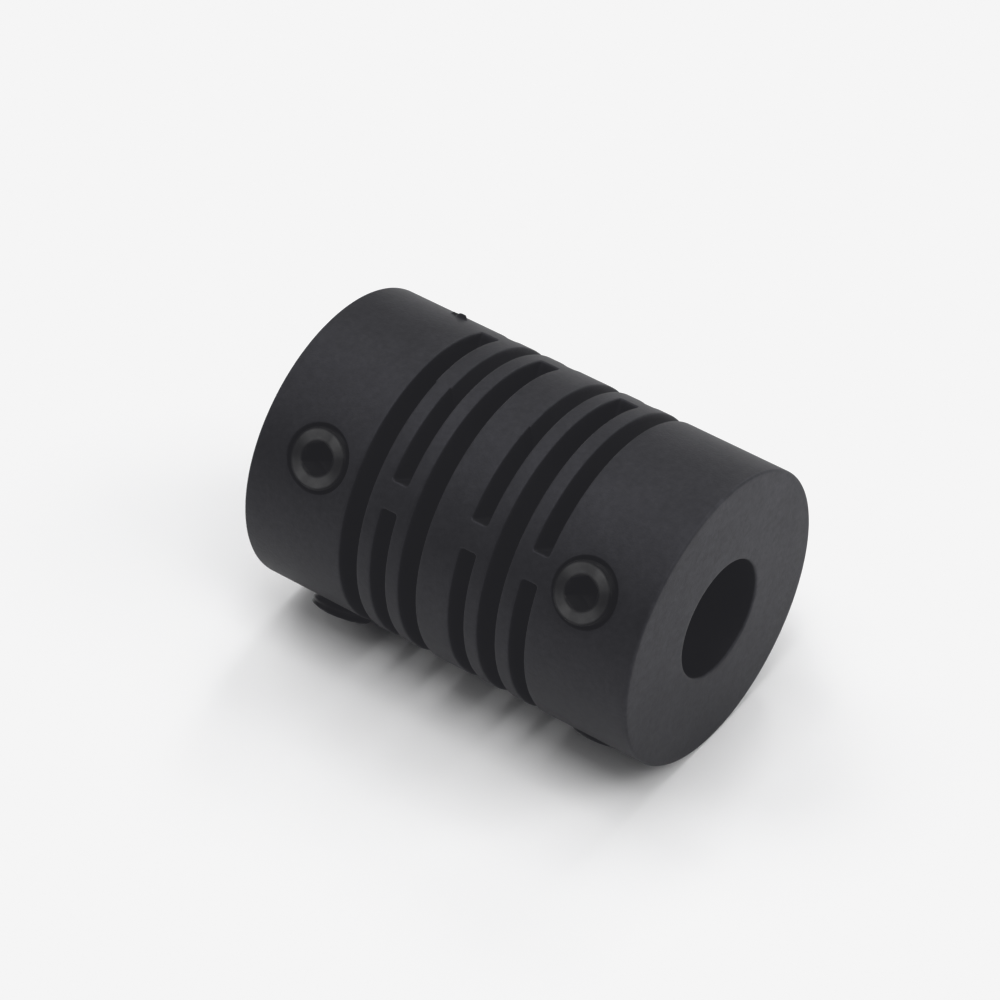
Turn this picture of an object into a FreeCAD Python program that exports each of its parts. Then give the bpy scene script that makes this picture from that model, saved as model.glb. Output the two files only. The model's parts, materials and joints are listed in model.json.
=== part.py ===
import FreeCAD, Part
import math
import os

# A moulded beam coupling that joins two 6 mm shafts and holds each with two M3 set screws.
# Frame: X is the axis of both shafts, Z is up, and the origin is the middle of the coupling.
# Angles turn about X, from +Y towards +Z. Lengths are in millimetres.

# Barrel
OUTSIDE_RADIUS = 7.5
OVERALL_LENGTH = 22.0
BORE_RADIUS = 3.0
RELIEF_RADIUS = 3.2
OUTER_EDGE_ROUND = 0.12
BORE_EDGE_CHAMFER = 0.1

# Slits: three on each side of the middle. Each one is cut through to the bore and leaves two webs.
INNER_SLIT = 1.41
MIDDLE_SLIT = 3.12
OUTER_SLIT = 4.85
SLIT_CENTRES = [-OUTER_SLIT, -MIDDLE_SLIT, -INNER_SLIT, INNER_SLIT, MIDDLE_SLIT, OUTER_SLIT]

# Webs: neighbouring slits keep their webs a quarter turn apart, so slits take turns between two kinds.
WEB_ANGLES = [54.0, 144.0]
SLIT_WIDTHS = [1.02, 0.88]
WEB_WIDTH = 1.4
WEB_ROOT_ROUND = 0.15

# Rigid sections of the moulding, from -X to +X, with one slit between each two
SECTION_NAMES = ["hub_a", "ring_1", "ring_2", "centre_ring", "ring_3", "ring_4", "hub_b"]

# Set screws: M3 x 4 with a cup point and a 1.5 mm hex socket
SCREW_LENGTH = 4.0
THREAD_RADIUS = 1.5
THREAD_PITCH = 0.5
THREAD_DEPTH = 0.3
THREAD_ROOT_FLAT = 0.06
FACE_CHAMFER = 0.12
SOCKET_ACROSS_FLATS = 1.5
SOCKET_DEPTH = 1.6
SOCKET_LEAD_IN = 0.1
CUP_RADIUS = 0.7
CUP_DEPTH = 0.35

# Screw holes in the hubs
SCREW_X = 7.6
SCREW_CLEARANCE = 0.02
LEAD_IN_RADIUS = 1.68
LEAD_IN_FLOOR = 7.05
FRONT_ANGLE = 144.0
BOTTOM_ANGLE = 234.0

# How far each screw's end face stands from the shaft axis
FACE_RADIUS_A_FRONT = 7.5
FACE_RADIUS_A_BOTTOM = 8.0
FACE_RADIUS_B_FRONT = 7.75
FACE_RADIUS_B_BOTTOM = 7.55

# Gate stub that the mould leaves on hub_a
STUB_X = -7.1
STUB_ANGLE = 54.0
STUB_RADIUS = 0.3
STUB_TOP = 7.74
STUB_ROUND = 0.1

# Cutting tools reach past the surface that they cut by this much
OVERCUT = 1.0

V = FreeCAD.Vector
CENTRE = V(0, 0, 0)
ALONG = V(1, 0, 0)
UP = V(0, 0, 1)


def point_outwards(shape, angle, x):
    """Turns a shape drawn about +Z so that it points outwards at an angle, and moves it to x."""
    turned = shape.copy()
    turned.rotate(CENTRE, ALONG, angle - 90.0)
    turned.translate(V(x, 0, 0))
    return turned


def slice_between(start, end):
    """A slab across the axis, wider than the barrel."""
    reach = OUTSIDE_RADIUS + OVERCUT
    return Part.makeBox(end - start, 2 * reach, 2 * reach, V(start, -reach, -reach))


def barrel():
    """The bored blank of the moulding, with its end edges broken."""
    end = OVERALL_LENGTH / 2
    outside = Part.makeCylinder(OUTSIDE_RADIUS, OVERALL_LENGTH, V(-end, 0, 0), ALONG)
    rims = [edge for edge in outside.Edges if isinstance(edge.Curve, Part.Circle)]
    outside = outside.makeFillet(OUTER_EDGE_ROUND, rims)
    bore_length = OVERALL_LENGTH + 2 * OVERCUT
    bored = outside.cut(Part.makeCylinder(BORE_RADIUS, bore_length, V(-end - OVERCUT, 0, 0), ALONG))
    mouths = [edge for edge in bored.Edges if is_bore_mouth(edge)]
    return bored.makeChamfer(BORE_EDGE_CHAMFER, mouths)


def is_bore_mouth(edge):
    """Whether an edge is one of the two circles where the bore meets an end face."""
    return isinstance(edge.Curve, Part.Circle) and abs(edge.Curve.Radius - BORE_RADIUS) < 1e-6


def half_slit(width):
    """Half of a slit whose webs stand along Z, centred on the origin, with round corners at the webs."""
    reach = OUTSIDE_RADIUS + OVERCUT
    slab = Part.makeBox(width, reach, 2 * reach, V(-width / 2, WEB_WIDTH / 2, -reach))
    roots = [edge for edge in slab.Edges if is_web_root(edge)]
    return slab.makeFillet(WEB_ROOT_ROUND, roots)


def is_web_root(edge):
    """Whether an edge of the half slit runs along Z beside a web."""
    ends = [vertex.Point for vertex in edge.Vertexes]
    along_web = abs(ends[0].z - ends[1].z) > OUTSIDE_RADIUS
    return along_web and abs(ends[0].y - WEB_WIDTH / 2) < 1e-6


def slits():
    """All the slits, as solids to cut away."""
    halves = []
    for number, x in enumerate(SLIT_CENTRES):
        kind = number % 2
        half = half_slit(SLIT_WIDTHS[kind])
        halves.append(point_outwards(half, WEB_ANGLES[kind], x))
        halves.append(point_outwards(half, WEB_ANGLES[kind] + 180.0, x))
    return halves


def screw_hole():
    """A screw hole along +Z from the bore, with a wider lead-in at the barrel's surface."""
    radius = THREAD_RADIUS + SCREW_CLEARANCE
    top = OUTSIDE_RADIUS + OVERCUT
    hole = Part.makeCylinder(radius, top, CENTRE, UP)
    cone_height = LEAD_IN_RADIUS - radius
    cone = Part.makeCone(radius, LEAD_IN_RADIUS, cone_height, V(0, 0, LEAD_IN_FLOOR), UP)
    mouth_floor = LEAD_IN_FLOOR + cone_height
    mouth = Part.makeCylinder(LEAD_IN_RADIUS, top - mouth_floor, V(0, 0, mouth_floor), UP)
    return hole.fuse([cone, mouth])


def screw_holes():
    """The two holes of each hub, a quarter turn apart."""
    hole = screw_hole()
    angles = [FRONT_ANGLE, BOTTOM_ANGLE]
    return [point_outwards(hole, angle, x) for angle in angles for x in (-SCREW_X, SCREW_X)]


def gate_stub():
    """The stub where the moulding was broken from its runner, rooted in the barrel wall."""
    root = (OUTSIDE_RADIUS + BORE_RADIUS) / 2
    stub = Part.makeCylinder(STUB_RADIUS, STUB_TOP - root, V(0, 0, root), UP)
    top_edge = [edge for edge in stub.Edges if edge.CenterOfMass.z > STUB_TOP - 1e-6]
    return point_outwards(stub.makeFillet(STUB_ROUND, top_edge), STUB_ANGLE, STUB_X)


def shaft_relief():
    """The wider bore between the hubs, so that the rings stay clear of the shafts when they flex."""
    walls = slit_walls()
    start = walls[0][0]
    end = walls[-1][1]
    return Part.makeCylinder(RELIEF_RADIUS, end - start, V(start, 0, 0), ALONG)


def moulding():
    """The whole plastic part: two hubs and five rings joined by webs."""
    return barrel().fuse(gate_stub()).cut(slits() + screw_holes() + [shaft_relief()])


def slit_walls():
    """Where each slit starts and ends along the axis."""
    walls = []
    for number, x in enumerate(SLIT_CENTRES):
        half_width = SLIT_WIDTHS[number % 2] / 2
        walls.append((x - half_width, x + half_width))
    return walls


def sections(body):
    """The rigid sections of the moulding, cut apart at the walls of the slits."""
    walls = slit_walls()
    starts = [-OVERALL_LENGTH / 2 - OVERCUT] + [end for _, end in walls]
    ends = [start for start, _ in walls] + [OVERALL_LENGTH / 2 + OVERCUT]
    pieces = {}
    for name, start, end in zip(SECTION_NAMES, starts, ends):
        pieces[name] = body.common(slice_between(start, end))
    return pieces


def webs(body):
    """The two webs of each slit, named by the slit's number and by which one is higher."""
    pieces = {}
    for number, (start, end) in enumerate(slit_walls(), start=1):
        pair = body.common(slice_between(start, end)).Solids
        pair.sort(key=lambda web: web.CenterOfMass.z)
        pieces[f"web_{number}_lower"] = pair[0]
        pieces[f"web_{number}_upper"] = pair[1]
    return pieces


def screw_blank():
    """The shank from its point at z = 0 to its end face, with both ends chamfered."""
    point_taper = THREAD_RADIUS - CUP_RADIUS - FACE_CHAMFER
    outline = [
        V(0, 0, 0),
        V(CUP_RADIUS + FACE_CHAMFER, 0, 0),
        V(THREAD_RADIUS, 0, point_taper),
        V(THREAD_RADIUS, 0, SCREW_LENGTH - FACE_CHAMFER),
        V(THREAD_RADIUS - FACE_CHAMFER, 0, SCREW_LENGTH),
        V(0, 0, SCREW_LENGTH),
        V(0, 0, 0),
    ]
    return Part.Face(Part.makePolygon(outline)).revolve(CENTRE, UP, 360)


def thread_groove():
    """The helical V groove of the thread, which runs out past both ends of the shank."""
    root = THREAD_RADIUS - THREAD_DEPTH
    lip = THREAD_RADIUS + THREAD_DEPTH / 4
    half_root = THREAD_ROOT_FLAT / 2
    half_lip = half_root + (lip - root) * math.tan(math.radians(30))
    corners = [
        V(root, 0, -half_root),
        V(lip, 0, -half_lip),
        V(lip, 0, half_lip),
        V(root, 0, half_root),
        V(root, 0, -half_root),
    ]
    path = Part.makeHelix(THREAD_PITCH, SCREW_LENGTH + 2 * THREAD_PITCH, THREAD_RADIUS)
    groove = Part.Wire(path).makePipeShell([Part.makePolygon(corners)], True, True)
    groove.translate(V(0, 0, -THREAD_PITCH))
    return groove


def hex_socket():
    """The hex socket with its drilled bottom and its small conical lead-in."""
    corner_radius = SOCKET_ACROSS_FLATS / math.sqrt(3)
    floor = SCREW_LENGTH - SOCKET_DEPTH
    corners = []
    for turn in range(7):
        angle = math.radians(60 * turn)
        corners.append(V(corner_radius * math.cos(angle), corner_radius * math.sin(angle), floor))
    prism = Part.Face(Part.makePolygon(corners)).extrude(V(0, 0, SOCKET_DEPTH + OVERCUT))
    drill_radius = SOCKET_ACROSS_FLATS / 2
    drill_point = Part.makeCone(0, drill_radius, drill_radius / 2, V(0, 0, floor - drill_radius / 2), UP)
    widest = corner_radius + SOCKET_LEAD_IN / 2
    lead_in_base = V(0, 0, SCREW_LENGTH - SOCKET_LEAD_IN)
    lead_in = Part.makeCone(widest - SOCKET_LEAD_IN, widest, SOCKET_LEAD_IN, lead_in_base, UP)
    return prism.fuse([drill_point, lead_in])


def set_screw():
    """A threaded set screw along +Z, with its cup point at z = 0."""
    cup = Part.makeCone(CUP_RADIUS, 0, CUP_DEPTH, CENTRE, UP)
    return screw_blank().cut(thread_groove()).cut([hex_socket(), cup])


def screws():
    """The four set screws in their holes."""
    screw = set_screw()
    places = {
        "screw_a_front": (FRONT_ANGLE, -SCREW_X, FACE_RADIUS_A_FRONT),
        "screw_a_bottom": (BOTTOM_ANGLE, -SCREW_X, FACE_RADIUS_A_BOTTOM),
        "screw_b_front": (FRONT_ANGLE, SCREW_X, FACE_RADIUS_B_FRONT),
        "screw_b_bottom": (BOTTOM_ANGLE, SCREW_X, FACE_RADIUS_B_BOTTOM),
    }
    pieces = {}
    for name, (angle, x, face_radius) in places.items():
        raised = screw.copy()
        raised.translate(V(0, 0, face_radius - SCREW_LENGTH))
        pieces[name] = point_outwards(raised, angle, x)
    return pieces


def main():
    os.makedirs("parts", exist_ok=True)
    body = moulding()
    pieces = sections(body) | webs(body) | screws()
    for name, shape in pieces.items():
        shape.exportStep(f"parts/{name}.step")


main()
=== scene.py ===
import json
import math

import bmesh
import bpy
import numpy as np
from mathutils import Matrix, Vector


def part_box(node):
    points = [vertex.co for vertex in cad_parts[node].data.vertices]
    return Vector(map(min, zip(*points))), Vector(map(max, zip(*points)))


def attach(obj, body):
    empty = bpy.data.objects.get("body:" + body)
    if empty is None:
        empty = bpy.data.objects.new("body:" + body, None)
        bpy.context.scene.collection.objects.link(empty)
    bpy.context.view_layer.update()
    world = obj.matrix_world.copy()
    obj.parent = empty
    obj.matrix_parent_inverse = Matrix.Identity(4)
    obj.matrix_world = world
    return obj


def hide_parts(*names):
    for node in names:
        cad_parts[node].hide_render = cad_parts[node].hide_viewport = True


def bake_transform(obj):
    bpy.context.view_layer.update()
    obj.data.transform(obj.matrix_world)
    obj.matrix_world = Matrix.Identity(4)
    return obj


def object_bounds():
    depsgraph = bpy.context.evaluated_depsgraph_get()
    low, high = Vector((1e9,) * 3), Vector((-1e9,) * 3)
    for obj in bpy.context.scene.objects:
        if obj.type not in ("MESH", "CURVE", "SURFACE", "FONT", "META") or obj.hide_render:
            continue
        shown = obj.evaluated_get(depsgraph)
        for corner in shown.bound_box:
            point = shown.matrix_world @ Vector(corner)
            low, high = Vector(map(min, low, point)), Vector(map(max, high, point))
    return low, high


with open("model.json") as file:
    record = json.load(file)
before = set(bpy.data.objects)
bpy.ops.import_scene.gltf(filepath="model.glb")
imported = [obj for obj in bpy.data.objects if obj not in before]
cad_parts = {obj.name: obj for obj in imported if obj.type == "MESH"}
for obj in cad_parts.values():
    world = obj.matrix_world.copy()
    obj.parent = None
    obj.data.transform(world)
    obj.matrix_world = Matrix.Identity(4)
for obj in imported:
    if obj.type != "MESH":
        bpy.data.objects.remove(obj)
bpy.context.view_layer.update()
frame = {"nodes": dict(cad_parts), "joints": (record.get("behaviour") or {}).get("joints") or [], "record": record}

# Meshes are worked out in millimetres, about the shaft axis X, and scaled to metres at the end.
# Angles are in degrees about X, from +Y towards +Z.
MM = 0.001

# ---------------------------------------------------------------- sizes read from the frame
SECTIONS = ["hub_a", "ring_1", "ring_2", "centre_ring", "ring_3", "ring_4", "hub_b"]
SCREWS = ["screw_a_front", "screw_a_bottom", "screw_b_front", "screw_b_bottom"]
JOINTS = {joint["name"]: joint for joint in frame["joints"]}
MOUNTS = {mount["name"]: mount for mount in frame["record"]["mounts"]}
BORE = MOUNTS["bore_b"]["dims"]["r_mm"]
RELIEF = min(math.hypot(v.co.y, v.co.z) for v in frame["nodes"]["centre_ring"].data.vertices) / MM
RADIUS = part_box("centre_ring")[1].z / MM
HALF_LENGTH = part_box("hub_b")[1].x / MM

# ---------------------------------------------------------------- details finer than the CAD
WEB_HALF = 0.7             # half the width of a web
WEB_ROOT = 0.15            # radius of the corner between a web and a ring
SLIT_EDGE = 0.08           # rounding of the slits' edges on the barrel
END_EDGE = 0.12            # rounding of the barrel's ends
BORE_EDGE = 0.12           # rounding of the bore's mouths
HOLE = 1.52                # radius of a screw hole
HOLE_EDGE = 0.05           # rounding of its edge on the barrel
HOLE_MOUTH = 1.68          # radius of its lead-in
HOLE_MOUTH_FLOOR = 7.21    # the lead-in goes down to here, from the shaft axis
HOLE_CONE_FLOOR = 7.05     # and narrows to the hole by here
PARTING = (99.0, 279.0)    # where the two halves of the mould met
PARTING_RAMP = 0.2         # the angle over which one half of the mould gives way to the other

# How far the mould's back half stands into the slit of a number, on its -X and +X walls
MISMATCH = {1: (0.0, 0.06), 2: (0.08, 0.0), 4: (0.06, 0.0)}

# The gate stub on top of hub A, and the torn ridge that runs from it towards the hub's end
STUB_X = -7.07
STUB_ANGLE = 54.0
STUB_HEIGHT = 0.21
STUB_RADIUS = 0.1
STUB_SIDE = 0.14           # width of its sloping side
STUB_SQUEEZE = 0.7         # its width to its length
RIDGE_LENGTH = 0.55
RIDGE_WIDTH = 0.18
RIDGE_SHARE = 0.6          # its share of the stub's height
RIDGE_LEAN = 0.2           # how far it leans sideways for each millimetre along


class Slit:
    """One slit: its walls, and the angle of one of its two webs."""

    def __init__(self, number):
        before, after = SECTIONS[number - 1], SECTIONS[number]
        axis = JOINTS[f"slit_{number}_flex"]["axis"]
        self.sections = before, after
        self.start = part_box(before)[1].x / MM
        self.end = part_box(after)[0].x / MM
        self.web_angle = math.degrees(math.atan2(axis[2], axis[1]))
        self.mismatch = MISMATCH.get(number, (0.0, 0.0))

    def walls(self, angles):
        """Where the slit starts and ends at each angle."""
        back = behind_parting(angles)
        return self.start + self.mismatch[0] * back, self.end - self.mismatch[1] * back

    def beside_web(self, angles):
        """Distance from the middle plane of the nearer web, at the barrel's surface."""
        return RADIUS * np.abs(np.sin(np.radians(angles - self.web_angle)))


def behind_parting(angles):
    """1 on the back half of the mould, 0 on the front half, with a short ramp between."""
    front = sum(PARTING) / 2
    from_front = np.abs(signed(angles - front))
    return np.clip((from_front - 90) / PARTING_RAMP + 0.5, 0, 1)


def signed(angle):
    """An angle brought to between -180 and 180 degrees."""
    return (angle + 180) % 360 - 180


# ---------------------------------------------------------------- mesh helpers
ROUNDING_ROWS = 5          # rows over a rounded edge
STATION_SPACING = 1.8      # the widest angle between stations
FACE_MARGIN = 0.15         # width of the strip along each edge of a flat face
SAME_POINT = 2e-5          # corners nearer to each other than this are one vertex
NO_LENGTH = 1e-6           # edges shorter than this are taken out
SHARP_ANGLE = 35           # smooth shading breaks at edges with a bigger angle


def rounding_drop(distance, radius):
    """How far a rounded edge lies under the flat surface, at a distance in from the edge."""
    inside = radius - np.clip(distance, 0, radius)
    return radius - np.sqrt(radius**2 - inside**2)


def rounding_steps(radius):
    """Distances in from a rounded edge that divide its arc evenly."""
    return radius * (1 - np.cos(np.linspace(0, math.pi / 2, ROUNDING_ROWS)))


def quads(points, wrap=False, keep=None):
    """Quads over a grid of points (rows, columns, 3), closed around its columns if wrap."""
    if wrap:
        points = np.concatenate([points, points[:, :1]], axis=1)
    corners = points[:-1, :-1], points[:-1, 1:], points[1:, 1:], points[1:, :-1]
    faces = np.stack(corners, axis=2)
    return faces[keep] if keep is not None else faces.reshape(-1, 4, 3)


def round_points(x, radius, angles):
    """Points at x and radius, at angles about X."""
    x, radius, angles = np.broadcast_arrays(x, radius, np.radians(angles))
    return np.stack([x, radius * np.cos(angles), radius * np.sin(angles)], axis=-1)


def flat_face(outer, inner):
    """A face between two loops, with a narrow strip along each of them that keeps its shading flat."""
    inwards = inner - outer
    step = FACE_MARGIN * inwards / np.linalg.norm(inwards, axis=-1, keepdims=True)
    return quads(np.array([outer, outer + step, inner - step, inner]), wrap=True)


def stations_around(special):
    """Angles all the way round: each special one, and even steps between them."""
    special = sorted(set(np.round(np.mod(special, 360), 6)))
    stations = []
    for start, end in zip(special, special[1:] + [special[0] + 360]):
        count = max(1, math.ceil((end - start) / STATION_SPACING - 1e-6))
        stations.extend(np.linspace(start, end, count, endpoint=False))
    return np.array(stations)


def make_piece(name, faces, material, sharp_angle=SHARP_ANGLE):
    """A closed mesh from quads in millimetres, with smooth shading broken at sharp edges."""
    corners = np.concatenate(faces).reshape(-1, 3)
    mesh = bpy.data.meshes.new(name)
    mesh.from_pydata(corners.tolist(), [], np.arange(len(corners)).reshape(-1, 4).tolist())
    shape = bmesh.new()
    shape.from_mesh(mesh)
    bmesh.ops.remove_doubles(shape, verts=shape.verts, dist=SAME_POINT)
    bmesh.ops.dissolve_degenerate(shape, edges=shape.edges, dist=NO_LENGTH)
    bmesh.ops.recalc_face_normals(shape, faces=shape.faces)
    bmesh.ops.scale(shape, vec=(MM, MM, MM), verts=shape.verts)
    for face in shape.faces:
        face.smooth = True
    for edge in shape.edges:
        edge.smooth = edge.calc_face_angle(0) < math.radians(sharp_angle)
    shape.to_mesh(mesh)
    shape.free()
    mesh.materials.append(material)
    piece = bpy.data.objects.new(name, mesh)
    bpy.context.scene.collection.objects.link(piece)
    normals = piece.modifiers.new("normals", "WEIGHTED_NORMAL")
    normals.keep_sharp = True
    return piece


# ---------------------------------------------------------------- the moulding
# Distances of the stations from a web's middle plane: across the web, then around its corners
WEB_FLANK = np.array([0, 0.3, 0.55, 0.7, 0.735, 0.765, 0.795, 0.82, 0.84, 0.85])
WEB_STATIONS = np.concatenate([-WEB_FLANK[:0:-1], WEB_FLANK])
WEB_ROOT_ROWS = [0, 0.008, 0.03, 0.06, 0.1]


def web_station_angles(slit):
    """Angles of the stations across both webs of a slit, at the barrel's surface."""
    offsets = np.degrees(np.arcsin(WEB_STATIONS / RADIUS))
    return [slit.web_angle + turn + offset for turn in (0, 180) for offset in offsets]


def parting_angles():
    """Angles of the stations at both ends of the parting's ramps."""
    return [angle + side for angle in PARTING for side in (-PARTING_RAMP / 2, PARTING_RAMP / 2)]


def distance_in_section(slit, into, angles):
    """Distance on the barrel from a slit's outline, at a depth into the section beside it."""
    beside = slit.beside_web(angles)
    rooted = WEB_HALF + WEB_ROOT
    round_corner = np.hypot(into + WEB_ROOT, np.maximum(rooted - beside, 0)) - WEB_ROOT
    return np.where(beside >= rooted, into, round_corner)


def ring_rows(left, right):
    """x of each row of a ring's outside: steps over both rounded edges, and three rows between."""
    steps = rounding_steps(SLIT_EDGE)
    middle = [left + (right - left) * share for share in (0.25, 0.5, 0.75)]
    return np.array([left + step for step in steps] + middle + [right - step for step in steps[::-1]])


def make_ring(name, slit_left, slit_right, material):
    """A flexing ring: a disc between two slits, with a bore and rounded slit edges."""
    special = web_station_angles(slit_left) + web_station_angles(slit_right) + parting_angles()
    angles = stations_around(special)
    left = slit_left.walls(angles)[1]
    right = slit_right.walls(angles)[0]
    x = ring_rows(left, right)
    edge = np.minimum(
        distance_in_section(slit_left, x - left, angles),
        distance_in_section(slit_right, right - x, angles),
    )
    outside = round_points(x, RADIUS - rounding_drop(edge, SLIT_EDGE), angles)
    bore = round_points(np.array([left, right]), RELIEF, angles)
    faces = [
        quads(outside, wrap=True),
        quads(bore, wrap=True),
        flat_face(outside[0], bore[0]),
        flat_face(outside[-1], bore[-1]),
    ]
    return make_piece(name, faces, material)


def make_web(name, slit, turn, material):
    """A web: a thin wall from the bore to the barrel's surface, flared where it meets the rings."""
    angle = slit.web_angle + turn
    start, end = (float(wall) for wall in slit.walls(np.array(angle)))
    depth = (end - start) / 2
    into = np.concatenate([WEB_ROOT_ROWS, np.linspace(WEB_ROOT, depth, 4)])
    x = np.concatenate([start + into, end - into[-2::-1]])
    into = np.minimum(x - start, end - x)
    flare = np.clip(WEB_ROOT - into, 0, WEB_ROOT)
    half = WEB_HALF + WEB_ROOT - np.sqrt(WEB_ROOT**2 - flare**2)
    across = np.outer(half / half[0], WEB_STATIONS)
    rooted = WEB_HALF + WEB_ROOT
    round_corner = np.hypot(flare[:, None], rooted - np.abs(across)) - WEB_ROOT
    edge = np.where(flare[:, None] > 0, round_corner, WEB_HALF - np.abs(across))
    surface = RADIUS - rounding_drop(edge, SLIT_EDGE)
    top = web_points(x, across, surface, angle)
    bottom = web_points(x, across, RELIEF, angle)
    faces = [
        quads(top),
        quads(bottom),
        quads(np.array([top[0], bottom[0]])),
        quads(np.array([top[-1], bottom[-1]])),
        quads(np.array([top[:, 0], bottom[:, 0]])),
        quads(np.array([top[:, -1], bottom[:, -1]])),
    ]
    web = make_piece(name, faces, material)
    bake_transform(web)
    return web


def web_points(x, across, radius, angle):
    """Points at a distance across a web's middle plane, and at a radius from the shaft axis."""
    height = np.sqrt(radius**2 - across**2)
    return beside_axis(np.broadcast_to(x[:, None], across.shape), across, height, angle)


def beside_axis(x, across, height, angle):
    """Points from x, a distance across and a height along the direction at an angle about X."""
    cos, sin = math.cos(math.radians(angle)), math.sin(math.radians(angle))
    return np.stack([x, height * cos - across * sin, height * sin + across * cos], axis=-1)


# A window is the stretch of a hub's wall that is meshed around a screw hole
WINDOW_X = 2.05            # half its length
WINDOW_ANGLE = 36.0        # half its angle
WINDOW_ROWS = 15
WINDOW_RINGS = 10
STUB_SPACING = 0.0625      # between the rows and between the stations over the stub


def stub_height(x, angles):
    """Height over the barrel of the gate stub and of the torn ridge beside it."""
    around = RADIUS * np.radians(signed(angles - STUB_ANGLE))
    out = np.hypot(STUB_SQUEEZE * (x - STUB_X), around)
    lump = np.clip((STUB_RADIUS + STUB_SIDE - out) / STUB_SIDE, 0, 1)
    along = np.clip(STUB_X - x, 0, RIDGE_LENGTH)
    out = np.hypot(x - STUB_X + along, around + RIDGE_LEAN * along)
    ridge = RIDGE_SHARE * np.clip(1 - out / RIDGE_WIDTH, 0, 1)
    share = np.maximum(lump, ridge)
    return STUB_HEIGHT * share**2 * (3 - 2 * share)


def hub_stations(slit, screw_angles, stub):
    """Angles of a hub's stations: its slit's webs, the parting, the windows' sides and the stub."""
    windows = [angle + turn for angle in screw_angles for turn in (-WINDOW_ANGLE, WINDOW_ANGLE)]
    special = web_station_angles(slit) + parting_angles() + windows
    if stub:
        around = np.arange(-0.5, 0.51, STUB_SPACING)
        special += list(STUB_ANGLE + np.degrees(around / RADIUS))
    return stations_around(special)


def window_rows(screw_x, side, stub):
    """x of a hub's rows across its windows, from the hub's end inwards."""
    rows = np.linspace(screw_x - WINDOW_X, screw_x + WINDOW_X, WINDOW_ROWS)
    if stub:
        stub_rows = STUB_X + np.arange(-0.8, 0.41, STUB_SPACING)
        clear = np.abs(rows - stub_rows.mean()) > np.ptp(stub_rows) / 2 + 0.05
        rows = np.sort(np.concatenate([rows[clear], stub_rows]))
    return rows[::-side]


def bore_mouth(end, side, angles):
    """The rounded mouth of a hub's bore."""
    steps = rounding_steps(BORE_EDGE)[:, None]
    return round_points(end - side * steps, BORE + rounding_drop(steps, BORE_EDGE), angles)


def make_hub(name, slit, side, screw_x, screw_angles, material, stub):
    """A clamping hub: its end is at side * HALF_LENGTH and its other face is a slit's wall."""
    angles = hub_stations(slit, screw_angles, stub)
    wall = slit.walls(angles)[0 if side < 0 else 1]
    end = side * HALF_LENGTH
    end_rows = [end - side * step for step in rounding_steps(END_EDGE)]
    window = window_rows(screw_x, side, stub)
    slit_rows = [wall + side * step for step in rounding_steps(SLIT_EDGE)[::-1]]
    rows = [*end_rows, (end_rows[-1] + window[0]) / 2, *window, *slit_rows]
    x = np.array([np.broadcast_to(row, angles.shape) for row in rows])
    inner = len(end_rows)
    first = inner + 1
    last = inner + len(window)

    edge = distance_in_section(slit, side * (x - wall), angles)
    drop = rounding_drop(edge, SLIT_EDGE) + rounding_drop(side * (end - x), END_EDGE)
    lump = stub_height(x, angles) if stub else 0
    outside = round_points(x, RADIUS - drop + lump, angles)
    bore = round_points(x, BORE, angles)
    mouth = bore_mouth(end, side, angles)
    keep = window_mask(angles, screw_angles, x.shape, first, last)
    faces = [
        quads(outside, wrap=True, keep=keep),
        quads(bore[inner:], wrap=True, keep=keep[inner:]),
        quads(mouth, wrap=True),
        quads(np.array([mouth[-1], bore[inner]]), wrap=True),
        flat_face(outside[0], mouth[0]),
        flat_face(outside[-1], bore[-1]),
    ]
    for angle in screw_angles:
        faces += screw_hole(window_loop(angles, angle, x, first, last), screw_x, angle)
    return make_piece(name, faces, material)


def window_columns(angles, angle):
    """Indices of the stations from one side of a window to the other."""
    offset = signed(angles - angle)
    inside = np.flatnonzero(np.abs(offset) < WINDOW_ANGLE + 1e-4)
    return inside[np.argsort(offset[inside])]


def window_mask(angles, screw_angles, shape, first, last):
    """Which cells of the hub's grid are meshed as they are, outside the windows."""
    keep = np.ones((shape[0] - 1, shape[1]), bool)
    for angle in screw_angles:
        columns = window_columns(angles, angle)[:-1]
        keep[first:last, columns] = False
    return keep


def window_loop(angles, angle, x, first, last):
    """(x, angle) of the stations around a window, in order."""
    columns = window_columns(angles, angle)
    rows = np.arange(first, last + 1)
    corners = [(rows[0], c) for c in columns[:-1]]
    corners += [(r, columns[-1]) for r in rows[:-1]]
    corners += [(rows[-1], c) for c in columns[:0:-1]]
    corners += [(r, columns[0]) for r in rows[:0:-1]]
    return np.array([(x[r, c], angles[c]) for r, c in corners])


class HoleRays:
    """Rays out from a screw hole's axis, one towards each station around its window."""

    def __init__(self, loop, screw_x, angle):
        self.loop_x = loop[:, 0]
        self.offset = signed(loop[:, 1] - angle)
        self.screw_x = screw_x
        self.angle = angle
        around = (RADIUS + BORE) / 2 * np.radians(self.offset)
        heading = np.arctan2(around, self.loop_x - screw_x)
        self.along, self.across = np.cos(heading), np.sin(heading)

    def at_height(self, hole, height):
        """Points at a distance out from the hole's axis and a height along it."""
        x = self.screw_x + hole * self.along
        across = hole * self.across
        return beside_axis(x, across, np.broadcast_to(height, across.shape), self.angle)

    def at_radius(self, hole, radius):
        """Points at a distance out from the hole's axis, on a cylinder about the shaft axis."""
        return self.at_height(hole, np.sqrt(radius**2 - (hole * self.across)**2))

    def spread(self, hole, radius):
        """Rings of points on such a cylinder, from the hole out to the window's stations."""
        shares = np.linspace(0, 1, WINDOW_RINGS)[:, None]
        near_x = self.screw_x + hole * self.along
        near_offset = np.degrees(np.arcsin(hole * self.across / radius))
        x = near_x + (self.loop_x - near_x) * shares
        offset = near_offset + (self.offset - near_offset) * shares
        return round_points(x, radius, self.angle + offset)


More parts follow.
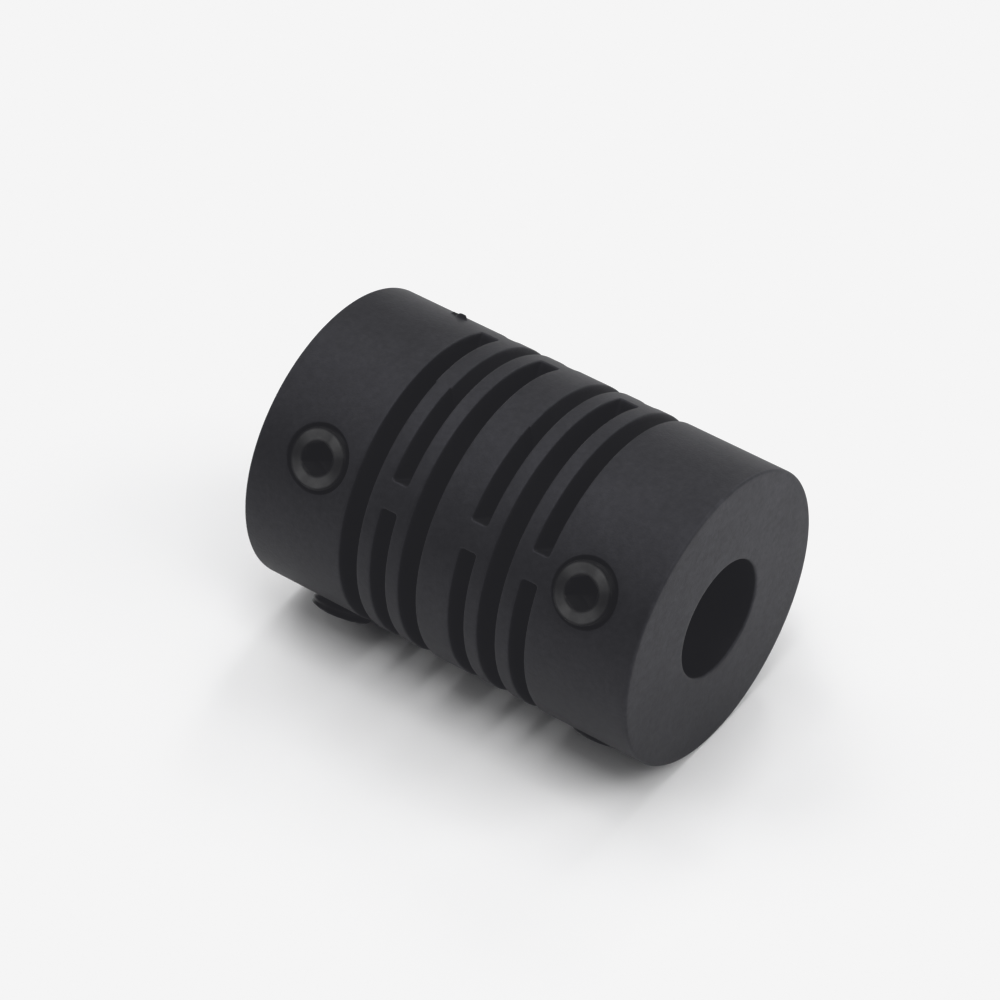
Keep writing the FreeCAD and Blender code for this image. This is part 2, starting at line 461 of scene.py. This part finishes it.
def screw_hole(loop, screw_x, angle):
    """A window's faces: the barrel around the hole, the hole's edge and wall, and the bore around it."""
    rays = HoleRays(loop, screw_x, angle)
    steps = rounding_steps(HOLE_EDGE)
    lip = [rays.at_radius(HOLE_MOUTH + step, RADIUS - rounding_drop(step, HOLE_EDGE)) for step in steps]
    wall = [
        lip[0],
        rays.at_height(HOLE_MOUTH, HOLE_MOUTH_FLOOR),
        rays.at_height(HOLE, HOLE_CONE_FLOOR),
        rays.at_radius(HOLE, BORE),
    ]
    return [
        quads(rays.spread(HOLE_MOUTH + HOLE_EDGE, RADIUS), wrap=True),
        quads(np.array(lip), wrap=True),
        quads(np.array(wall), wrap=True),
        quads(rays.spread(HOLE, BORE), wrap=True),
    ]


# ---------------------------------------------------------------- the set screws
SCREW_LENGTH = 4.0
THREAD = 1.5               # radius over the thread
PITCH = 0.5
SOCKET_FLAT = 0.75         # half the distance across the socket's flats
SOCKET_CORNER = 1.135      # its rounded corners' distance out, in SOCKET_FLATs
SOCKET_MOUTH = 0.80        # radius of its lead-in, which the corners cut through
SOCKET_DEPTH = 1.6
FACE_EDGE = 0.1            # rounding of the end face's rim
THREAD_DEPTH = 0.3
THREAD_FADE = 0.25         # the length over which the thread fades out under the end face
THREAD_ROOT = 0.14         # half the width of the groove's floor, in half pitches
THREAD_FLANK = 0.74        # width of the groove's side, in half pitches
POINT = 0.82               # radius of the point's rim
CUP = 0.7                  # radius of the hollow in the point
TURN_STEPS = 120
TURN = np.linspace(0, math.tau, TURN_STEPS, endpoint=False)


def hex_radius(turn):
    """Radius of the socket, a hexagon with slightly rounded corners."""
    off_flat = np.abs((turn + math.pi / 6) % (math.pi / 3) - math.pi / 6)
    return SOCKET_FLAT * np.minimum(1 / np.cos(off_flat), SOCKET_CORNER)


def thread_radius(turn, z):
    """Radius of the screw's thread, which fades out under the end face."""
    phase = np.abs((z / PITCH - turn / math.tau) % 1 - 0.5) * 2
    ridge = np.clip((phase - THREAD_ROOT) / THREAD_FLANK, 0, 1)
    depth = THREAD_DEPTH * np.clip((SCREW_LENGTH - FACE_EDGE - z) / THREAD_FADE, 0, 1)
    return THREAD - depth * (1 - ridge)


def screw_shank():
    """Rows that climb with the thread, from the point's rim to the end face's rim."""
    turn = np.append(TURN, math.tau)
    profile = np.array([0, 0.07, 0.25, 0.44, 0.5, 0.56, 0.75, 0.93]) * PITCH
    rows = np.arange(-1, SCREW_LENGTH / PITCH + 1)[:, None] * PITCH + profile
    z = np.clip(rows.reshape(-1, 1) + PITCH * turn / math.tau, 0, SCREW_LENGTH)
    rim = THREAD - rounding_drop(SCREW_LENGTH - z, FACE_EDGE)
    radius = np.minimum(np.minimum(thread_radius(turn, z), POINT + z), rim)
    return screw_points(radius, turn, z)


def screw_head():
    """Rows from the end face's rim inwards, over the socket's lead-in and down to its drilled floor."""
    top, floor = SCREW_LENGTH, SCREW_LENGTH - SOCKET_DEPTH
    hexagon = hex_radius(TURN)
    mouth = np.maximum(hexagon, SOCKET_MOUTH)
    rows = [
        (THREAD - FACE_EDGE, top),
        (1.26, top),
        (1.14, top),
        (1.02, top),
        (mouth + 0.03, top),
        (mouth, top - 0.02),
        (hexagon, top - 0.03 - (mouth - hexagon)),
        (hexagon, floor),
        (0.6 * SOCKET_FLAT, floor - 0.16),
        (0.02, floor - 0.38),
        (0, floor - 0.38),
    ]
    return np.array([screw_points(radius, TURN, z) for radius, z in rows])


def screw_tip():
    """Rows from the point's rim inwards, over the cup."""
    rows = [(POINT, 0), (CUP, 0.02), (0.35, 0.22), (0, 0.32)]
    return np.array([screw_points(radius, TURN, z) for radius, z in rows])


def make_screw(name, material):
    """A set screw about its own Z, with its point at z = 0, put in its hole."""
    faces = [quads(screw_shank()), quads(screw_head(), wrap=True), quads(screw_tip(), wrap=True)]
    screw = make_piece("threaded_" + name, faces, material, sharp_angle=30)
    screw.matrix_world = screw_place(name)
    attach(screw, name)
    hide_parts(name)


def screw_points(radius, turn, z):
    radius, turn, z = np.broadcast_arrays(radius, turn, z)
    return np.stack([radius * np.cos(turn), radius * np.sin(turn), z], axis=-1)


def screw_place(name):
    """The matrix that stands a screw in its hole, at the depth that the frame gives."""
    outwards = Vector(JOINTS[name + "_travel"]["axis"])
    low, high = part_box(name)
    corners = [v.co for v in frame["nodes"][name].data.vertices]
    tip = min(outwards.dot(co) for co in corners)
    along = Vector((1, 0, 0))
    sideways = outwards.cross(along)
    place = Matrix((along, sideways, outwards)).transposed().to_4x4()
    place.translation = along * ((low.x + high.x) / 2) + outwards * tip
    return place


# ---------------------------------------------------------------- materials
PLASTIC_TINT = (0.97, 0.97, 1.1)
FLOOR_COLOUR = (0.92, 0.92, 0.925, 1)
# Noise scales, in cycles per metre
CLOUDS = 260.0
MOTTLE = 1100.0
STEEL_MOTTLE = 1500.0
SPECKLE = 3500.0
GRAIN = 9000.0


def new_material(name):
    material = bpy.data.materials.new(name)
    material.use_nodes = True
    nodes = material.node_tree.nodes
    nodes.clear()
    shader = nodes.new("ShaderNodeBsdfPrincipled")
    output = nodes.new("ShaderNodeOutputMaterial")
    material.node_tree.links.new(shader.outputs["BSDF"], output.inputs["Surface"])
    return material, nodes, material.node_tree.links, shader


def feed(links, slot, value):
    """Give an input a number or another node's socket."""
    if isinstance(value, (int, float)):
        slot.default_value = value
    else:
        links.new(value, slot)


def map_range(nodes, links, value, from_min, from_max, to_min, to_max):
    """A Map Range node; gives its result."""
    node = nodes.new("ShaderNodeMapRange")
    for slot, number in zip(node.inputs, (value, from_min, from_max, to_min, to_max)):
        feed(links, slot, number)
    return node.outputs["Result"]


def calculate(nodes, links, operation, first, second):
    """A Math node; gives its result."""
    node = nodes.new("ShaderNodeMath")
    node.operation = operation
    for slot, value in zip(node.inputs, (first, second)):
        feed(links, slot, value)
    return node.outputs["Value"]


def product(nodes, links, first, *others):
    """The product of two or more sockets or numbers."""
    for other in others:
        first = calculate(nodes, links, "MULTIPLY", first, other)
    return first


def length(nodes, links, first, second):
    """The length of a vector with two components."""
    squares = [product(nodes, links, part, part) for part in (first, second)]
    return calculate(nodes, links, "SQRT", calculate(nodes, links, "ADD", *squares), 0.0)


def add_noise(nodes, links, place, scale, detail, roughness=0.55):
    node = nodes.new("ShaderNodeTexNoise")
    for name, value in (("Scale", scale), ("Detail", detail), ("Roughness", roughness)):
        node.inputs[name].default_value = value
    links.new(place, node.inputs["Vector"])
    return node.outputs["Fac"]


def object_place(nodes, links):
    """The place in the object's own axes, and its x, y and z."""
    place = nodes.new("ShaderNodeTexCoord").outputs["Object"]
    split = nodes.new("ShaderNodeSeparateXYZ")
    links.new(place, split.inputs["Vector"])
    return place, split.outputs["X"], split.outputs["Y"], split.outputs["Z"]


def on_end_face(nodes, links, x):
    """1 on the barrel's two end faces, 0 elsewhere."""
    from_middle = calculate(nodes, links, "ABSOLUTE", x, 0.0)
    start, full = (HALF_LENGTH - 0.16) * MM, (HALF_LENGTH - 0.04) * MM
    return map_range(nodes, links, from_middle, start, full, 0.0, 1.0)


def painted_hollow_shade(nodes, links, y, z):
    """1 on the barrel's surface, with painted shade inside its slits and holes, and less on the stub."""
    from_axis = length(nodes, links, y, z)
    # Painted shade: darker inside the slits, the screw holes and the bore.
    inside = map_range(nodes, links, from_axis, (RADIUS - 0.3) * MM, (RADIUS - 0.03) * MM, 0.4, 1.0)
    above = map_range(nodes, links, from_axis, (RADIUS + 0.01) * MM, (RADIUS + 0.06) * MM, 1.0, 0.3)
    return product(nodes, links, inside, above)


def painted_side_shade(nodes, links, y, z, end_face):
    """Painted shade: how much darker and less glossy the barrel is down its sides and underneath, and its end
    faces across to -Y and towards the bottom.
    """
    low, high = -RADIUS * MM, RADIUS * MM
    # Painted shade underneath and down the sides, with the top left lighter; on the end faces, darker to -Y and
    # low down.
    underneath = map_range(nodes, links, z, low, 0.0, 0.57, 1.0)
    flank = map_range(nodes, links, z, 3.6 * MM, 5.6 * MM, 0.74, 0.9)
    face = map_range(nodes, links, y, low, high, 0.61, 0.95)
    face_low = map_range(nodes, links, z, low, 0.0, 0.78, 1.0)
    barrel = product(nodes, links, underneath, flank)
    return map_range(nodes, links, end_face, 0.0, 1.0, barrel, product(nodes, links, face, face_low))


def mottled(nodes, links, place, mottle):
    """A pattern about 1, from wide clouds down to fine speckle."""
    clouds = add_noise(nodes, links, place, CLOUDS, 4.0, 0.6)
    speckle = add_noise(nodes, links, place, SPECKLE, 3.0, 0.6)
    soft = map_range(nodes, links, clouds, 0.3, 0.7, 0.8, 1.2)
    fine = map_range(nodes, links, mottle, 0.3, 0.7, 0.75, 1.25)
    finest = map_range(nodes, links, speckle, 0.3, 0.7, 0.7, 1.3)
    return product(nodes, links, fine, finest, soft)


def make_plastic():
    """Matte black moulded plastic: fine grain and clouds, paler end faces, and painted shade in its slits and
    holes, low down and across its end faces.
    """
    material, nodes, links, shader = new_material("moulded_plastic")
    place, x, y, z = object_place(nodes, links)
    end_face = on_end_face(nodes, links, x)
    # The painted shade: dark in the slits and holes, darker down the sides and underneath, and across the end
    # faces.
    outside = calculate(nodes, links, "MAXIMUM", painted_hollow_shade(nodes, links, y, z), end_face)
    outside = product(nodes, links, outside, painted_side_shade(nodes, links, y, z, end_face))
    mottle = add_noise(nodes, links, place, MOTTLE, 5.0, 0.7)
    pattern = mottled(nodes, links, place, mottle)

    # The end faces are paler, with painted shade darkening them towards the bottom, where the floor shades them.
    paler_face_and_painted_shade = map_range(nodes, links, z, -RADIUS * MM, RADIUS * MM, 0.005, 0.021)
    base = calculate(nodes, links, "ADD", product(nodes, links, paler_face_and_painted_shade, end_face), 0.004)
    tint = nodes.new("ShaderNodeVectorMath")
    tint.operation = "SCALE"
    tint.inputs[0].default_value = PLASTIC_TINT
    links.new(product(nodes, links, base, outside, pattern), tint.inputs["Scale"])
    links.new(tint.outputs["Vector"], shader.inputs["Base Color"])

    gloss = map_range(nodes, links, pattern, 0.6, 1.4, 0.25, 0.33)
    links.new(product(nodes, links, gloss, outside), shader.inputs["Specular IOR Level"])
    shader.inputs["Specular Tint"].default_value = (*PLASTIC_TINT, 1.0)
    links.new(map_range(nodes, links, mottle, 0.0, 1.0, 0.48, 0.62), shader.inputs["Roughness"])
    bump = nodes.new("ShaderNodeBump")
    bump.inputs["Strength"].default_value = 0.5
    bump.inputs["Distance"].default_value = 0.02 * MM
    links.new(add_noise(nodes, links, place, GRAIN, 3.0), bump.inputs["Height"])
    links.new(bump.outputs["Normal"], shader.inputs["Normal"])
    return material


def bare_face_and_painted_shade(nodes, links, x, y, z):
    """1 on the flat of the screw's bare end face; 0 in its socket and on its rim, where it paints shade."""
    radius = length(nodes, links, x, y)
    outside_socket = map_range(nodes, links, radius, 0.83 * MM, 0.95 * MM, 0.0, 1.0)
    inside_rim = map_range(nodes, links, radius, 1.34 * MM, 1.43 * MM, 1.0, 0.0)
    start, full = (SCREW_LENGTH - 0.05) * MM, (SCREW_LENGTH - 0.01) * MM
    above_rim = map_range(nodes, links, z, start, full, 0.0, 1.0)
    return product(nodes, links, outside_socket, inside_rim, above_rim)


def make_steel():
    """Black-oxide steel, turned bright on its end face, dark oxide on its thread, and painted shade in its socket
    and over its end face's rim.
    """
    material, nodes, links, shader = new_material("black_oxide_steel")
    place, x, y, z = object_place(nodes, links)
    mottle = add_noise(nodes, links, place, STEEL_MOTTLE, 4.0)
    worn = map_range(nodes, links, mottle, 0.3, 0.7, 0.8, 1.2)
    # Bare turned steel on the end face; painted shade over its rim and the socket's lead-in.
    shade = map_range(nodes, links, bare_face_and_painted_shade(nodes, links, x, y, z), 0.0, 1.0, 0.004, 0.066)
    links.new(product(nodes, links, shade, worn), shader.inputs["Base Color"])
    links.new(map_range(nodes, links, mottle, 0.0, 1.0, 0.38, 0.5), shader.inputs["Roughness"])
    for name, value in (("Metallic", 0.9), ("Anisotropic", 0.95), ("Anisotropic Rotation", 0.25)):
        shader.inputs[name].default_value = value
    tangent = nodes.new("ShaderNodeTangent")
    tangent.direction_type = "RADIAL"
    tangent.axis = "Z"
    links.new(tangent.outputs["Tangent"], shader.inputs["Tangent"])
    return material


def make_floor_paint():
    material, nodes, links, shader = new_material("pale_floor")
    shader.inputs["Base Color"].default_value = FLOOR_COLOUR
    shader.inputs["Roughness"].default_value = 0.9
    return material


# ---------------------------------------------------------------- build
plastic = make_plastic()
steel = make_steel()
slits = [Slit(number) for number in range(1, 7)]
screw_angles = [
    math.degrees(math.atan2(JOINTS[name]["axis"][2], JOINTS[name]["axis"][1]))
    for name in ("screw_a_front_travel", "screw_a_bottom_travel")
]
screw_x = sum(corner.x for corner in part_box("screw_b_front")) / 2 / MM

sections = {
    "hub_a": make_hub("moulded_hub_a", slits[0], -1, -screw_x, screw_angles, plastic, stub=True),
    "hub_b": make_hub("moulded_hub_b", slits[-1], 1, screw_x, screw_angles, plastic, stub=False),
}
for left, right, name in zip(slits[:-1], slits[1:], SECTIONS[1:-1]):
    sections[name] = make_ring("moulded_" + name, left, right, plastic)
for name, piece in sections.items():
    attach(piece, name)
    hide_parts(name)

for number, slit in enumerate(slits, start=1):
    upwards = math.sin(math.radians(slit.web_angle)) > 0
    for height, turn in (("upper", 0 if upwards else 180), ("lower", 180 if upwards else 0)):
        web = make_web(f"moulded_web_{number}_{height}", slit, turn, plastic)
        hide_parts(f"web_{number}_{height}")

for name in SCREWS:
    make_screw(name, steel)

# ---------------------------------------------------------------- stage
CAMERA_AZIMUTH = 36.38
CAMERA_ELEVATION = 42.43
CAMERA_DISTANCE = 0.2059
CAMERA_RIGHT = -0.00125
CAMERA_UP = 0.00108
FOCAL_LENGTH = 157.45
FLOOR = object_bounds()[0].z
FLOOR_SIZE = 0.7
SOFTBOX_DISTANCE = 0.4
# Softboxes: azimuth and elevation in degrees, size in metres, power in watts
SOFTBOXES = [
    (0, 78, 0.2, 0.512),
    (60, 78, 0.2, 0.140),
    (72, 58, 0.2, 0.211),
    (90, 35, 0.2, 0.199),
    (120, 35, 0.2, 0.429),
    (180, 65, 0.07, 0.071),
    (180, 25, 0.07, 0.164),
    (195, 45, 0.07, 0.196),
    (195, 15, 0.07, 0.102),
    (240, 12, 0.17, 0.220),
    (252, 58, 0.2, 0.355),
    (300, 35, 0.2, 0.302),
]
BLACK_LIFT = 0.0145        # a thin veil of stray light over the darkest parts
BLUE_LIFT = 0.002
# The brightest parts level off: exposure and what it shows as
SHOULDER = [(0.9, 0.882), (1.0, 0.912), (1.2, 0.924), (2.0, 0.93)]
SHOULDER_START = 0.8


def look_from(azimuth, elevation, distance, right=0.0, up=0.0):
    """The place of something that looks at the origin; azimuth 0 is on the -Y side, 90 on the +X side."""
    azimuth, elevation = math.radians(azimuth), math.radians(elevation)
    cos = math.cos(elevation)
    back = Vector((math.sin(azimuth) * cos, -math.cos(azimuth) * cos, math.sin(elevation)))
    side = Vector((math.cos(azimuth), math.sin(azimuth), 0))
    above = back.cross(side)
    matrix = Matrix((side, above, back)).transposed().to_4x4()
    matrix.translation = back * distance + side * right + above * up
    return matrix


def make_camera():
    camera = bpy.data.objects.new("camera", bpy.data.cameras.new("camera"))
    camera.data.sensor_width = 36.0
    camera.data.lens = FOCAL_LENGTH
    camera.data.clip_start = 0.005
    camera.data.clip_end = 10.0
    camera.matrix_world = look_from(
        CAMERA_AZIMUTH, CAMERA_ELEVATION, CAMERA_DISTANCE, CAMERA_RIGHT, CAMERA_UP
    )
    bpy.context.scene.collection.objects.link(camera)
    bpy.context.scene.camera = camera


def make_floor(material):
    bpy.ops.mesh.primitive_plane_add(size=FLOOR_SIZE, location=(0, 0, FLOOR))
    floor = bpy.context.object
    floor.name = "floor"
    floor.data.materials.append(material)


def make_softbox(azimuth, elevation, size, power):
    name = f"softbox_{azimuth}_{elevation}"
    light = bpy.data.objects.new(name, bpy.data.lights.new(name, "AREA"))
    light.data.shape = "SQUARE"
    light.data.size = size
    light.data.energy = power
    light.matrix_world = look_from(azimuth, elevation, SOFTBOX_DISTANCE)
    bpy.context.scene.collection.objects.link(light)


def make_backdrop():
    """A pale world past the floor's edge that only the camera sees, so that it adds no light."""
    world = bpy.data.worlds.new("studio")
    bpy.context.scene.world = world
    world.use_nodes = True
    nodes, links = world.node_tree.nodes, world.node_tree.links
    nodes["Background"].inputs["Color"].default_value = (1, 1, 1, 1)
    rays = nodes.new("ShaderNodeLightPath")
    links.new(rays.outputs["Is Camera Ray"], nodes["Background"].inputs["Strength"])


def set_tone():
    """Lift the black a little and level off the brightest parts."""
    view = bpy.context.scene.view_settings
    view.view_transform = "Standard"
    view.use_curve_mapping = True
    tone = view.curve_mapping
    tone.use_clip = False
    blue, all_colours = tone.curves[2], tone.curves[3]
    blue.points[0].location = (0.0, BLUE_LIFT)
    all_colours.points[0].location = (0.0, BLACK_LIFT)
    all_colours.points[1].location = (SHOULDER_START, SHOULDER_START)
    for exposure, shown in SHOULDER:
        all_colours.points.new(exposure, shown)
    for point in all_colours.points:
        point.handle_type = "AUTO_CLAMPED"
    tone.update()


make_floor(make_floor_paint())
make_camera()
for softbox in SOFTBOXES:
    make_softbox(*softbox)
make_backdrop()
set_tone()
